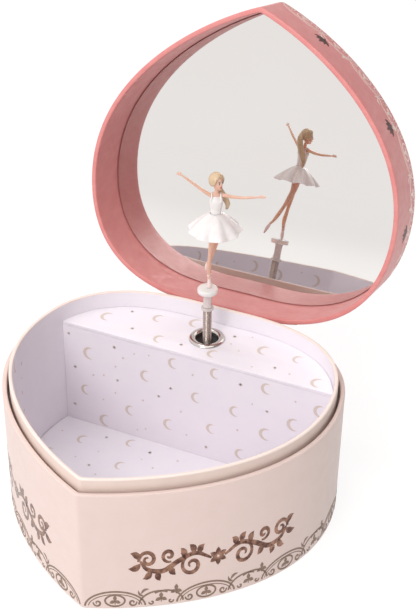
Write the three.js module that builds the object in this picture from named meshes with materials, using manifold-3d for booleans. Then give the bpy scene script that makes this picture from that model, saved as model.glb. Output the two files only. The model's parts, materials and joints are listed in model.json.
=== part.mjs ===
// Heart-shaped wind-up music box with a turning dancer, a mirror in the lid and its musical movement.
// Millimetres, +Z up. The origin is at the middle of the base, on the table. The heart's tip points to
// -Y, the lid is hinged at the back (+Y), and the box is symmetric about x = 0. The lid stands open.
import * as THREE from "three";
import { mergeVertices } from "three/addons/utils/BufferGeometryUtils.js";
import Module from "manifold-3d";

// Heart outline
const TIP_Y = -75.4; // front tip of the heart
const CLEFT_Y = 74.5; // the back is nearly flat, with a very shallow cleft at its middle
const SIDE_POINT = [78.7, 31.2]; // where the front and back curves of one side meet
const OUTLINE_STEPS = 12; // straight pieces per curve

// Box
const BOX_HEIGHT = 65; // outer wall
const NECK_TOP = 70.8; // inner wall, standing proud of the outer one
const WALL = 2.2; // outer wall board
const WALL_GAP = 1.2; // shadow gap between the outer wall and the neck
const NECK = 1.7; // neck board
const NECK_INSIDE = WALL + WALL_GAP + NECK;
const BASE = 1.8; // bottom board
const PLATFORM_TOP = 62;
const PLATFORM_FRONT_Y = 38.3;
const BOARD = 1.8; // platform boards
const GAP = 0.1; // between glued pieces

// Lid
const LID_OPEN_DEG = 103.2;
const HINGE_Y = 75.5;
const HINGE_Z = 65.2;
const LID_RIM = 0.2; // rim above the hinge line with the lid shut
const LID_DEPTH = 30;
const LID_WALL = 2.4;
const MIRROR_DEPTH = 24.2; // from the rim to the mirror's face
const MIRROR = 1.2;
const LID_PANEL = 2.4;

// Dancer's post
const POST_Y = 55;
const POST_R = 2.3;
const POST_TOP = PLATFORM_TOP + 17;
const EYELET_HOLE_R = 5.45;
const EYELET_R = 8.9;
const DISC_R = 4.9;
const DISC_TOP = PLATFORM_TOP + 29.2;
const FIGURE_TURN_DEG = 24; // the dancer faces the front right

// Foil garland on each front flank
const FLOURISH_AT = [40.5, -42, 25];
const FLOURISH_TURN_DEG = 40;
const FLOURISH_SIZE = [70, 18];

// Movement: the bedplate stands on edge behind the platform's front board
const BEDPLATE_Y = 64.6;
const BEDPLATE = 1.6;
const BARREL_Z = 20; // winding axis, along Y
const CROWN_TEETH = 44;
const CROWN_INNER_R = 10.2;
const CROWN_OUTER_R = 13;
const PINION_TEETH = 20;
const WHEEL_TEETH = 30;
const INTERMEDIATE_PINION_TEETH = 10;
const INTERMEDIATE_WHEEL_TEETH = 40;
const FLY_PINION_TEETH = 8;
const MODULE = 0.5;
const FINE_MODULE = 0.4;
const CYLINDER_R = 6;
const PIN_R = 6.7; // tips of the cylinder's pins
const CYLINDER_Z = [35.4, 51.4];
const TUNE_NOTES = 18;
const INTERMEDIATE_X = (MODULE * (WHEEL_TEETH + INTERMEDIATE_PINION_TEETH)) / 2;
const FLY_X = INTERMEDIATE_X + (FINE_MODULE * (INTERMEDIATE_WHEEL_TEETH + FLY_PINION_TEETH)) / 2;
const STOP_ROD_Z = 53.2;
const SCREW_SPOTS = [[-20, 12], [20, 12], [0, 45]]; // x, z of the movement's mounting screws

const rad = THREE.MathUtils.degToRad;
const wasm = await Module();
wasm.setup();

const music_box = new THREE.Group();

// A closed geometry as a solid that can be joined and cut.
function solid(geometry) {
  const bare = geometry.index ? geometry.toNonIndexed() : geometry.clone();
  const merged = mergeVertices(
    new THREE.BufferGeometry().setAttribute("position", bare.getAttribute("position")),
    1e-4,
  );
  return new wasm.Manifold(
    new wasm.Mesh({
      numProp: 3,
      vertProperties: merged.attributes.position.array,
      triVerts: new Uint32Array(merged.index.array),
    }),
  );
}

// A solid as a geometry again.
function shaped(made) {
  const mesh = made.getMesh();
  const geometry = new THREE.BufferGeometry();
  geometry.setAttribute("position", new THREE.BufferAttribute(mesh.vertProperties, 3));
  geometry.setIndex(new THREE.BufferAttribute(mesh.triVerts, 1));
  return geometry;
}

function join(...geometries) {
  return shaped(geometries.map(solid).reduce((all, next) => all.add(next)));
}

function cut(geometry, ...tools) {
  return shaped(tools.map(solid).reduce((left, tool) => left.subtract(tool), solid(geometry)));
}

function common(geometry, other) {
  return shaped(solid(geometry).intersect(solid(other)));
}

function piece(name, geometry, [color, roughness, metalness = 0], parent = music_box) {
  const mesh = new THREE.Mesh(
    geometry,
    new THREE.MeshStandardMaterial({ color, roughness, metalness }),
  );
  mesh.name = name;
  parent.add(mesh);
  return mesh;
}

// Materials as [colour, roughness, metalness]
const CREAM_PAPER = [0xe6d8cf, 0.7];
const LAVENDER_PAPER = [0xe4dce6, 0.75];
const PINK_PEARL = [0xd69a9a, 0.35];
const GREY_BOARD = [0xb9aea6, 0.9];
const FOIL = [0x9a6a58, 0.25, 1];
const NICKEL = [0xc8c4c0, 0.18, 1];
const MIRROR_SILVER = [0xe8e6e6, 0.02, 1];
const STEEL = [0xa9acb0, 0.35, 1];
const BRASS = [0xc9a558, 0.3, 1];
const ZINC = [0x9c9da0, 0.45, 1];
const WHITE_PLASTIC = [0xf5f0ec, 0.35];
const BLACK_PLASTIC = [0x1d1b1b, 0.5];
const SKIN = [0xe2b8a4, 0.45];
const DRESS = [0xf3ece8, 0.4];
const HAIR = [0xdcb98a, 0.45];
const SLIPPER = [0xf0d6cf, 0.4];

// ---- Outlines -------------------------------------------------------------------------------------

// The right-hand half of the heart, from the tip to the cleft.
function rightSide() {
  const [x, y] = SIDE_POINT;
  const path = new THREE.Path();
  path.moveTo(0, TIP_Y);
  path.bezierCurveTo(28.2, TIP_Y + 10.2, x + 11.1, y - 59.5, x, y);
  path.bezierCurveTo(x - 4.1, y + 21.9, 58, CLEFT_Y + 5.3, 0, CLEFT_Y);
  return path.getPoints(OUTLINE_STEPS);
}

// The heart as a closed loop, moved inwards by the inset. The corners at the tip and the cleft stay sharp.
function heart(inset = 0) {
  const side = rightSide();
  const moved = side.map((p, i) => {
    const before = side[Math.max(i - 1, 0)];
    const after = side[Math.min(i + 1, side.length - 1)];
    const along = after.clone().sub(before).normalize();
    return new THREE.Vector2(p.x - along.y * inset, p.y + along.x * inset);
  });
  const atCentre = (a, b) => new THREE.Vector2(0, a.y - (a.x * (b.y - a.y)) / (b.x - a.x));
  const first = moved.findIndex((p) => p.x > 0.5);
  const last = moved.findLastIndex((p) => p.x > 0.5);
  const half = [
    atCentre(moved[first - 1], moved[first]),
    ...moved.slice(first, last + 1),
    atCentre(moved[last], moved[last + 1]),
  ];
  const mirrored = half
    .slice(1, -1)
    .reverse()
    .map((p) => new THREE.Vector2(-p.x, p.y));
  return [...half, ...mirrored];
}

// The part of a loop where sign * (y - level) is positive.
function clipped(loop, level, sign) {
  const out = [];
  loop.forEach((a, i) => {
    const b = loop[(i + 1) % loop.length];
    const da = sign * (a.y - level);
    const db = sign * (b.y - level);
    if (da >= 0) out.push(a);
    if (da * db < 0) out.push(a.clone().lerp(b, da / (da - db)));
  });
  return out;
}

// The stretch of the back wall between -halfWidth and halfWidth, between two insets.
function backStrip(halfWidth, outside, inside) {
  const stretch = (inset) =>
    heart(inset)
      .filter((p) => p.y > 60 && Math.abs(p.x) < halfWidth)
      .sort((a, b) => a.x - b.x);
  return [...stretch(inside), ...stretch(outside).reverse()];
}

// Where the back of a loop is crossed at x.
function backAt(loop, x) {
  for (let i = 0; i < loop.length; i++) {
    const a = loop[i];
    const b = loop[(i + 1) % loop.length];
    const behind = a.y > 50 && b.y > 50;
    if (behind && (a.x - x) * (b.x - x) <= 0 && a.x !== b.x) {
      return a.y + ((x - a.x) * (b.y - a.y)) / (b.x - a.x);
    }
  }
  throw new Error("no wall at x = " + x);
}

// A slab with straight sides between two heights.
function slab(loop, low, high, holes = []) {
  const shape = new THREE.Shape(loop);
  shape.holes = holes.map((hole) => new THREE.Path(hole));
  return new THREE.ExtrudeGeometry(shape, { depth: high - low, bevelEnabled: false }).translate(0, 0, low);
}

function heartRing(outside, inside, low, high) {
  return slab(heart(outside), low, high, [heart(inside)]);
}

// ---- Simple solids ----------------------------------------------------------------------------------

function block([x0, x1], [y0, y1], [z0, z1]) {
  return new THREE.BoxGeometry(x1 - x0, y1 - y0, z1 - z0).translate(
    (x0 + x1) / 2,
    (y0 + y1) / 2,
    (z0 + z1) / 2,
  );
}

// A turned piece about Z, from [radius, height] pairs.
function turned(profile, segments = 20) {
  return new THREE.LatheGeometry(
    profile.map(([r, z]) => new THREE.Vector2(r, z)),
    segments,
  ).rotateX(Math.PI / 2);
}

// A tube about Z that closes on itself: inner radius, outer radius and its two heights.
function tube(inner, outer, low, high, segments = 20) {
  return turned([[inner, low], [outer, low], [outer, high], [inner, high], [inner, low]], segments);
}

function rod(radius, low, high, segments = 16) {
  return turned([[0, low], [radius, low], [radius, high], [0, high]], segments);
}

// A rod along Y.
function rodY(radius, x, z, y0, y1, segments = 16) {
  return rod(radius, -y1, -y0, segments).rotateX(Math.PI / 2).translate(x, 0, z);
}

// ---- Box --------------------------------------------------------------------------------------------

const backHoles = [
  rodY(3.4, 0, BARREL_Z, 60, 80),
  rodY(1.5, FLY_X, STOP_ROD_Z, 60, 80),
  ...SCREW_SPOTS.map(([x, z]) => rodY(1.5, x, z, 60, 80)),
];
piece("outer_wall", cut(heartRing(0, WALL, 0, BOX_HEIGHT), ...backHoles), CREAM_PAPER);
piece("bottom_board", slab(heart(WALL + GAP), 0, BASE), CREAM_PAPER);
piece(
  "neck_wall",
  cut(heartRing(WALL + WALL_GAP, NECK_INSIDE, BASE + GAP, NECK_TOP), ...backHoles),
  LAVENDER_PAPER,
);
piece(
  "wall_filler_board",
  cut(heartRing(WALL + GAP, WALL + WALL_GAP - GAP, BASE + GAP, BOX_HEIGHT - 7), ...backHoles),
  GREY_BOARD,
);
const inside = heart(NECK_INSIDE + 0.2);
piece(
  "floor_lining",
  slab(clipped(inside, PLATFORM_FRONT_Y - 0.2, -1), BASE + GAP, BASE + 0.5),
  LAVENDER_PAPER,
);
piece(
  "platform_front_board",
  slab(
    clipped(clipped(inside, PLATFORM_FRONT_Y, 1), PLATFORM_FRONT_Y + BOARD, -1),
    BASE + GAP,
    PLATFORM_TOP - BOARD - GAP,
  ),
  LAVENDER_PAPER,
);
piece(
  "platform_top_board",
  cut(
    slab(clipped(inside, PLATFORM_FRONT_Y, 1), PLATFORM_TOP - BOARD, PLATFORM_TOP),
    rod(6.2, 50, 70, 32).translate(0, POST_Y, 0),
  ),
  LAVENDER_PAPER,
);
const hingeStrip = backStrip(40, -0.5, -0.1);
piece("hinge_strip_box", slab(hingeStrip, BOX_HEIGHT - 8.4, BOX_HEIGHT - 1), CREAM_PAPER);

// A leaf-shaped outline from root to tip.
function leaf(root, tip, width) {
  const a = new THREE.Vector2(...root);
  const b = new THREE.Vector2(...tip);
  const side = new THREE.Vector2(a.y - b.y, b.x - a.x).setLength(width);
  const middle = a.clone().add(b).multiplyScalar(0.5);
  const shape = new THREE.Shape().moveTo(a.x, a.y);
  shape.quadraticCurveTo(middle.x + side.x, middle.y + side.y, b.x, b.y);
  shape.quadraticCurveTo(middle.x - side.x, middle.y - side.y, a.x, a.y);
  return shape;
}

// A garland in the x-z plane, centred on the origin: a wavy stem with leaves along both sides.
function garland(length, height) {
  const depth = { depth: 40, bevelEnabled: false, curveSegments: 4 };
  const wave = (x) => 0.16 * height * Math.sin((3 * Math.PI * x) / length);
  const xs = Array.from({ length: 17 }, (_, i) => length * (i / 16 - 0.5));
  const stem = new THREE.Shape([
    ...xs.map((x) => new THREE.Vector2(x, wave(x) - 0.7)),
    ...xs.reverse().map((x) => new THREE.Vector2(x, wave(x) + 0.7)),
  ]);
  const parts = [new THREE.ExtrudeGeometry(stem, depth)];
  for (let i = -5; i <= 5; i++) {
    const x = (i / 11) * length;
    const [reach, lean] = [height * 0.46, Math.sign(i) * 3];
    for (const side of [1, -1]) {
      const tip = [x + lean, wave(x) + side * reach];
      parts.push(new THREE.ExtrudeGeometry(leaf([x, wave(x) - side * 0.3], tip, 1.9), depth));
    }
  }
  return parts.map(solid).reduce((all, next) => all.add(next));
}

for (const [name, side] of [["foil_flourish_right", 1], ["foil_flourish_left", -1]]) {
  const stamp = shaped(garland(...FLOURISH_SIZE))
    .rotateX(Math.PI / 2)
    .rotateZ(side * rad(FLOURISH_TURN_DEG))
    .translate(side * FLOURISH_AT[0], FLOURISH_AT[1], FLOURISH_AT[2]);
  piece(name, common(heartRing(-0.35, -0.1, 10, 40), stamp), FOIL);
}

// ---- Lid, built shut about the hinge line and then swung open -----------------------------------------

const lid = new THREE.Group();
lid.position.set(0, HINGE_Y, HINGE_Z);
lid.rotation.x = -rad(LID_OPEN_DEG);
music_box.add(lid);

const panelLow = LID_RIM + LID_DEPTH - LID_PANEL;
const mirrorLow = LID_RIM + MIRROR_DEPTH;
const lidPiece = (name, geometry, material) =>
  piece(name, geometry.translate(0, -HINGE_Y, 0), material, lid);
lidPiece("lid_wall", heartRing(0, LID_WALL, LID_RIM, panelLow - GAP), PINK_PEARL);
lidPiece("lid_top_panel", slab(heart(0), panelLow, panelLow + LID_PANEL), PINK_PEARL);
lidPiece("mirror_glass", slab(heart(LID_WALL + 0.15), mirrorLow, mirrorLow + MIRROR), MIRROR_SILVER);
lidPiece(
  "mirror_backing_card",
  slab(heart(LID_WALL + 0.2), mirrorLow + MIRROR + GAP, panelLow - GAP),
  GREY_BOARD,
);
lidPiece("hinge_strip_lid", slab(hingeStrip, LID_RIM + 1.2, LID_RIM + 14), PINK_PEARL);

// ---- Post, eyelet and turning disc ---------------------------------------------------------------------

const post = new THREE.Group();
post.position.set(0, POST_Y, 0);
music_box.add(post);

piece(
  "eyelet",
  turned(
    [
      [EYELET_HOLE_R, PLATFORM_TOP - 2],
      [EYELET_HOLE_R + 0.5, PLATFORM_TOP - 2],
      [EYELET_HOLE_R + 0.5, PLATFORM_TOP + GAP],
      [EYELET_R, PLATFORM_TOP + GAP],
      [EYELET_R - 0.3, PLATFORM_TOP + 0.8],
      [EYELET_R - 1.6, PLATFORM_TOP + 1.2],
      [EYELET_HOLE_R + 0.6, PLATFORM_TOP + 1],
      [EYELET_HOLE_R, PLATFORM_TOP + 0.4],
      [EYELET_HOLE_R, PLATFORM_TOP - 2],
    ],
    28,
  ),
  NICKEL,
  post,
);
piece(
  "post_socket",
  turned([
    [POST_R + 0.1, 57.6],
    [4.2, 57.6],
    [4.2, 58.9],
    [7, 58.9],
    [7, 60],
    [POST_R + 0.1, 60],
    [POST_R + 0.1, 57.6],
  ]),
  BLACK_PLASTIC,
  post,
);
piece("post_spring", tube(POST_R - 0.6, POST_R, 57.8, POST_TOP, 20), NICKEL, post);
piece("drive_cable", rod(0.9, 57.3, POST_TOP, 12), STEEL, post);
piece(
  "bearing_collar",
  turned([
    [1.1, POST_TOP + 0.2],
    [2.8, POST_TOP + 0.2],
    [3, POST_TOP + 0.5],
    [3, POST_TOP + 1.2],
    [2.8, POST_TOP + 1.5],
    [1.1, POST_TOP + 1.5],
    [1.1, POST_TOP + 0.2],
  ]),
  [0xd8d2cc, 0.25],
  post,
);
piece(
  "turning_stem",
  turned([
    [0, POST_TOP + 0.3],
    [1, POST_TOP + 0.3],
    [1, POST_TOP + 1.7],
    [2.2, POST_TOP + 1.7],
    [2.2, DISC_TOP - 2.6],
    [0, DISC_TOP - 2.6],
  ]),
  WHITE_PLASTIC,
  post,
);
piece(
  "turning_disc",
  turned(
    [
      [0, DISC_TOP - 2.5],
      [DISC_R - 0.5, DISC_TOP - 2.5],
      [DISC_R, DISC_TOP - 2],
      [DISC_R, DISC_TOP - 0.5],
      [DISC_R - 0.5, DISC_TOP],
      [0, DISC_TOP],
    ],
    24,
  ),
  WHITE_PLASTIC,
  post,
);

// ---- Dancer, standing on the disc; +X is the viewer's right and -Y the way the dancer faces -------------

const dancer = new THREE.Group();
dancer.position.set(0, 0, DISC_TOP);
dancer.rotation.z = rad(FIGURE_TURN_DEG);
post.add(dancer);

// A limb through [x, y, z, radius] stations.
function limb(stations, segments = 10) {
  const rings = [];
  const points = stations.map(([x, y, z]) => new THREE.Vector3(x, y, z));
  stations.forEach(([, , , radius], i) => {
    const before = points[Math.max(i - 1, 0)];
    const after = points[Math.min(i + 1, points.length - 1)];
    const along = after.clone().sub(before).normalize();
    const turn = new THREE.Quaternion().setFromUnitVectors(new THREE.Vector3(0, 0, 1), along);
    for (let k = 0; k < segments; k++) {
      const angle = (k / segments) * 2 * Math.PI;
      rings.push(
        new THREE.Vector3(radius * Math.cos(angle), radius * Math.sin(angle), 0)
          .applyQuaternion(turn)
          .add(points[i]),
      );
    }
  });
  const index = [];
  for (let i = 0; i + 1 < stations.length; i++) {
    for (let k = 0; k < segments; k++) {
      const [a, b] = [i * segments + k, i * segments + ((k + 1) % segments)];
      index.push(a, b, b + segments, a, b + segments, a + segments);
    }
  }
  const last = (stations.length - 1) * segments;
  for (let k = 1; k + 1 < segments; k++) {
    index.push(0, k + 1, k, last, last + k, last + k + 1);
  }
  return new THREE.BufferGeometry().setFromPoints(rings).setIndex(index);
}

function egg([x, y, z], [a, b, c], segments = 14) {
  return new THREE.SphereGeometry(1, segments, 10).rotateX(Math.PI / 2).scale(a, b, c).translate(x, y, z);
}

// A skirt with soft pleats: a thin bell whose radius swings with the angle.
function pleatedSkirt(top, hem, topRadius, hemRadius, thickness, pleats) {
  const steps = [0, 0.3, 0.65, 1];
  const radiusAt = (t) => THREE.MathUtils.lerp(topRadius, hemRadius, t ** 0.85);
  const heightAt = (t) => THREE.MathUtils.lerp(top, hem, t ** 1.15);
  const outside = steps.map((t) => [radiusAt(t), heightAt(t)]);
  const lining = outside.map(([r, z]) => [r - thickness * 0.4, z - thickness]);
  const profile = [...lining, ...outside.reverse(), lining[0]];
  const skirt = turned(profile, pleats * 4);
  const position = skirt.getAttribute("position");
  for (let i = 0; i < position.count; i++) {
    const [x, y] = [position.getX(i), position.getY(i)];
    const reach = Math.hypot(x, y) / hemRadius;
    const swing = 1 + 0.07 * reach * Math.cos(pleats * Math.atan2(y, x));
    position.setXY(i, x * swing, y * swing);
  }
  return skirt;
}

piece(
  "dancer_standing_slipper",
  limb([[0.9, 0, 0.1, 0.7], [0.8, 0, 1.6, 0.95], [0.7, 0.1, 4, 0.8]]),
  SLIPPER,
  dancer,
);
piece(
  "dancer_standing_leg",
  limb([
    [0.7, 0.1, 4.2, 0.72],
    [0.4, 0.6, 10, 1.15],
    [0.8, 0.2, 17, 0.95],
    [1.6, 0, 24, 1.35],
    [2, 0, 31, 1.7],
  ]),
  SKIN,
  dancer,
);
piece(
  "dancer_free_slipper",
  limb([[-1.2, 13.2, 1.6, 0.45], [-0.8, 12.1, 4.2, 0.85], [-0.3, 11, 6.8, 0.75]]),
  SLIPPER,
  dancer,
);
piece(
  "dancer_free_leg",
  limb([
    [-0.25, 10.8, 7.1, 0.65],
    [1.6, 7.8, 13, 1.1],
    [2.6, 5.9, 17.6, 1],
    [3.9, 3.3, 25, 1.45],
    [4.9, 1.8, 31, 1.5],
  ]),
  SKIN,
  dancer,
);
piece(
  "dancer_skirt",
  pleatedSkirt(40.6, 31.8, 2.6, 12.2, 0.7, 9).translate(3, 0, 0),
  DRESS,
  dancer,
);
piece(
  "dancer_bodice",
  turned([[0, 40.9], [2.3, 40.9], [2.2, 42.2], [2.9, 45.2], [3.1, 47.2], [2.5, 48.8], [0, 48.8]], 16)
    .scale(1, 0.75, 1)
    .translate(3.5, 0, 0),
  DRESS,
  dancer,
);
piece(
  "dancer_shoulders",
  turned([[0, 49], [2.6, 49], [3, 50], [1.4, 51.2], [0.9, 51.8], [0.9, 52.8], [0, 52.8]], 16)
    .scale(1.1, 0.7, 1)
    .translate(3.4, 0, 0),
  SKIN,
  dancer,
);
const headAt = [3.5, -0.3, 56.9];
const hairAt = [headAt[0], headAt[1] + 0.4, headAt[2] + 0.5];
piece("dancer_head", egg(headAt, [2.7, 3, 3.8]), SKIN, dancer);
piece(
  "dancer_hair",
  cut(
    egg(hairAt, [3.4, 3.8, 4.2]),
    egg(headAt, [2.9, 3.2, 4]),
    block([0, 8], [-8, -0.9], [50, 59.6]),
    block([1.5, 5.3], [-8, 2.7], [50, 54.6]),
  ),
  HAIR,
  dancer,
);
piece(
  "dancer_ponytail",
  cut(
    limb([
      [2, 3, 58.4, 0.9],
      [3.4, 4.6, 55.6, 1.4],
      [4.8, 4.8, 51.2, 1.5],
      [7.2, 4.6, 46.6, 1.3],
      [8.7, 4.4, 43.2, 1],
      [8.2, 4.3, 40.6, 0.4],
    ]),
    egg(hairAt, [3.5, 3.9, 4.3]),
  ),
  HAIR,
  dancer,
);
piece(
  "dancer_raised_arm",
  limb([
    [-0.2, 0, 50.3, 0.95],
    [-2.6, -0.2, 52.2, 0.85],
    [-5.9, -0.4, 54.9, 0.75],
    [-10.6, -1, 59, 0.6],
    [-14.4, -1.6, 62.4, 0.4],
  ]),
  SKIN,
  dancer,
);
piece(
  "dancer_level_arm",
  limb([
    [7, 0, 49.9, 0.95],
    [10.6, 0, 49.2, 0.85],
    [15.1, -0.2, 48.9, 0.75],
    [20.4, -0.5, 49.3, 0.6],
    [25.2, -0.8, 49.8, 0.4],
  ]),
  SKIN,
  dancer,
);

// ---- Movement --------------------------------------------------------------------------------------------

// A toothed outline about the origin with one tooth centred on the given angle.
function gearLoop(teeth, module, toothAngle = 0) {
  const pitchR = (teeth * module) / 2;
  const loop = [];
  for (let i = 0; i < teeth; i++) {
    const centre = toothAngle + (i / teeth) * 2 * Math.PI;
    const pitch = (2 * Math.PI) / teeth;
    const corners = [
      [pitchR - 1.15 * module, -0.29],
      [pitchR + 0.8 * module, -0.11],
      [pitchR + 0.8 * module, 0.11],
      [pitchR - 1.15 * module, 0.29],
    ];
    for (const [radius, share] of corners) {
      const angle = centre + share * pitch;
      loop.push(new THREE.Vector2(radius * Math.cos(angle), radius * Math.sin(angle)));
    }
  }
  return loop;
}

function circle(radius, segments = 20) {
  return new THREE.Path().absarc(0, 0, radius, 0, 2 * Math.PI, true).getPoints(segments).slice(0, -1);
}

function gear(teeth, module, low, high, bore, toothAngle) {
  const holes = bore ? [circle(bore, 12)] : [];
  return slab(gearLoop(teeth, module, toothAngle), low, high, holes);
}

const bedplateFront = BEDPLATE_Y;
const bedplateBack = BEDPLATE_Y + BEDPLATE;
const neckInside = heart(NECK_INSIDE);
const bosses = SCREW_SPOTS.map(([x, z]) =>
  rodY(3.2, x, z, bedplateBack - 0.5, backAt(neckInside, x) - 0.5),
);
piece(
  "movement_bedplate",
  cut(
    join(
      block([-26, 26], [bedplateFront, bedplateBack], [5, 59.5]),
      block([-24, -17.2], [POST_Y + 0.6, bedplateFront + 0.5], CYLINDER_Z),
      ...bosses,
    ),
    rodY(1.55, 0, BARREL_Z, 60, 70),
    rodY(1.3, FLY_X, STOP_ROD_Z, 60, 70),
    ...SCREW_SPOTS.map(([x, z]) => rodY(1.3, x, z, 60, 72)),
    ...[39, 47.8].map((z) => rodY(0.95, -20.6, z, 50, 60)),
  ),
  ZINC,
);
SCREW_SPOTS.forEach(([x, z], i) => {
  const wall = Math.max(...[-2.4, 0, 2.4].map((dx) => backAt(heart(0), x + dx)));
  piece(
    "mounting_screw_" + (i + 1),
    join(rodY(1.2, x, z, bedplateFront + 0.3, wall + 1), rodY(2.4, x, z, wall + GAP, wall + 1.4)),
    STEEL,
  );
});

// Spring barrel with face teeth that drive the cylinder's pinion at a right angle.
const crownPitchY = POST_Y + (PINION_TEETH * MODULE) / 2;
const crownFaceY = crownPitchY + 0.65;
function spokeTooth(index) {
  return block([-0.27, 0.27], [crownPitchY - 0.4, crownFaceY + 0.2], [CROWN_INNER_R, CROWN_OUTER_R])
    .rotateY((index / CROWN_TEETH) * 2 * Math.PI)
    .translate(0, 0, BARREL_Z);
}
const drum = tube(8.9, 9.6, -(crownFaceY + 0.2), -47, 32).rotateX(Math.PI / 2).translate(0, 0, BARREL_Z);
const flange = tube(1.6, CROWN_OUTER_R + 0.2, -(crownFaceY + 1.4), -crownFaceY, 44)
  .rotateX(Math.PI / 2)
  .translate(0, 0, BARREL_Z);
piece(
  "spring_barrel",
  join(flange, drum, ...Array.from({ length: CROWN_TEETH }, (_, i) => spokeTooth(i))),
  BRASS,
);

function spiralStrip(innerR, outerR, turns, thickness, steps) {
  const edge = (shift) =>
    Array.from({ length: steps + 1 }, (_, i) => {
      const t = i / steps;
      const angle = t * turns * 2 * Math.PI;
      const radius = THREE.MathUtils.lerp(innerR, outerR, t) + shift;
      return new THREE.Vector2(radius * Math.cos(angle), radius * Math.sin(angle));
    });
  return [...edge(thickness / 2), ...edge(-thickness / 2).reverse()];
}
piece(
  "mainspring",
  slab(spiralStrip(2.2, 8.4, 4, 0.5, 64), -59.8, -48).rotateX(Math.PI / 2).translate(0, 0, BARREL_Z),
  STEEL,
);
piece("winding_arbor", rodY(1.5, 0, BARREL_Z, 43.6, 81.6), STEEL);
piece(
  "barrel_bridge",
  cut(
    join(
      block([-17.5, 17.5], [44, 45.6], [BARREL_Z - 4, BARREL_Z + 4]),
      block([-17.5, -15], [44.5, bedplateFront - GAP], [BARREL_Z - 4, BARREL_Z + 4]),
      block([15, 17.5], [44.5, bedplateFront - GAP], [BARREL_Z - 4, BARREL_Z + 4]),
    ),
    rodY(1.55, 0, BARREL_Z, 40, 50),
  ),
  ZINC,
);

// Winding key: a blind hub and two pierced wings.
const keyHub = turned([[1.6, 0], [2.8, 0], [2.8, 7], [0, 7], [0, 5.2], [1.6, 5.2], [1.6, 0]])
  .rotateX(-Math.PI / 2)
  .translate(0, 76.6, BARREL_Z);
const wing = new THREE.Shape().absarc(0, 0, 5.2, 0, 2 * Math.PI, false);
wing.holes.push(new THREE.Path().absarc(0, 0, 2.6, 0, 2 * Math.PI, true));
const wings = [-1, 1].map((side) =>
  new THREE.ExtrudeGeometry(wing, { depth: 1.4, bevelEnabled: false, curveSegments: 8 }).translate(
    side * 6.2,
    87,
    BARREL_Z - 0.7,
  ),
);
piece(
  "winding_key",
  join(keyHub, ...wings, block([-2.2, 2.2], [82.6, 90], [BARREL_Z - 0.7, BARREL_Z + 0.7])),
  NICKEL,
);

// Pinned cylinder on its upright arbor, which drives the cable to the dancer.
const train = new THREE.Group();
train.position.set(0, POST_Y, 0);
music_box.add(train);
piece("cylinder_arbor", rod(1.25, 29.9, 57), STEEL, train);
piece(
  "cylinder_pinion",
  gear(PINION_TEETH, MODULE, 30.4, 33.4, 1.32, Math.PI / 2 + Math.PI / PINION_TEETH),
  BRASS,
  train,
);
const noteSpacing = (CYLINDER_Z[1] - CYLINDER_Z[0]) / TUNE_NOTES;
const pins = [];
for (let note = 0; note < TUNE_NOTES; note++) {
  for (const beat of [0, 1, 2]) {
    const angle = ((note * 7 + beat * 11 + ((note * beat) % 5)) / 36) * 2 * Math.PI + 0.09;
    pins.push(
      block([CYLINDER_R - 0.4, PIN_R], [-0.15, 0.15], [-0.15, 0.15])
        .rotateZ(angle)
        .translate(0, 0, CYLINDER_Z[0] + noteSpacing * (note + 0.5)),
    );
  }
}
piece("music_cylinder", join(tube(1.35, CYLINDER_R, ...CYLINDER_Z, 36), ...pins), BRASS, train);
piece("cylinder_wheel", gear(WHEEL_TEETH, MODULE, 52, 53.2, 1.32, 0), BRASS, train);
piece(
  "intermediate_pinion",
  join(
    gear(INTERMEDIATE_PINION_TEETH, MODULE, 51.8, 53.4, 0, 1.1 * Math.PI),
    rod(0.8, 50.8, 59),
  ).translate(INTERMEDIATE_X, 0, 0),
  STEEL,
  train,
);
piece(
  "intermediate_wheel",
  gear(INTERMEDIATE_WHEEL_TEETH, FINE_MODULE, 56, 57, 0.86, 0).translate(INTERMEDIATE_X, 0, 0),
  BRASS,
  train,
);
piece(
  "fly_pinion",
  join(
    gear(FLY_PINION_TEETH, FINE_MODULE, 55.8, 57.2, 0, Math.PI + Math.PI / 8),
    rod(0.6, 36, 59, 12),
    rod(2.2, 52, 54.4),
  ).translate(FLY_X, 0, 0),
  STEEL,
  train,
);
piece(
  "governor_fly",
  cut(
    join(rod(1.3, 38.4, 50.4, 12), block([-5.6, 5.6], [-0.3, 0.3], [39, 50])),
    rod(0.66, 30, 60, 12),
  ).translate(FLY_X, 0, 0),
  WHITE_PLASTIC,
  train,
);

// Bearing arms reach forward from the bedplate; y is measured from the arbors' plane.
const plateY = bedplateFront - POST_Y - GAP;
const bore = (radius, x) => rod(radius, 20, 70, 16).translate(x, 0, 0);
piece(
  "cylinder_bearing",
  cut(
    join(
      block([-3, 3], [plateY - 1.4, plateY], [33.8, 55.2]),
      block([-3, 3], [-3, plateY], [33.8, 35]),
      block([-3, 13], [-3, plateY], [54, 55.2]),
    ),
    bore(1.31, 0),
    bore(0.86, INTERMEDIATE_X),
  ),
  ZINC,
  train,
);
piece(
  "governor_bearing",
  cut(
    join(
      block([22.6, 25], [plateY - 1.4, plateY], [36, 59.2]),
      block([17, 25], [-2, plateY], [36.2, 37.4]),
      block([7.8, 25], [-2, plateY], [58, 59.2]),
    ),
    bore(0.86, INTERMEDIATE_X),
    bore(0.66, FLY_X),
  ),
  ZINC,
  train,
);

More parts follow.
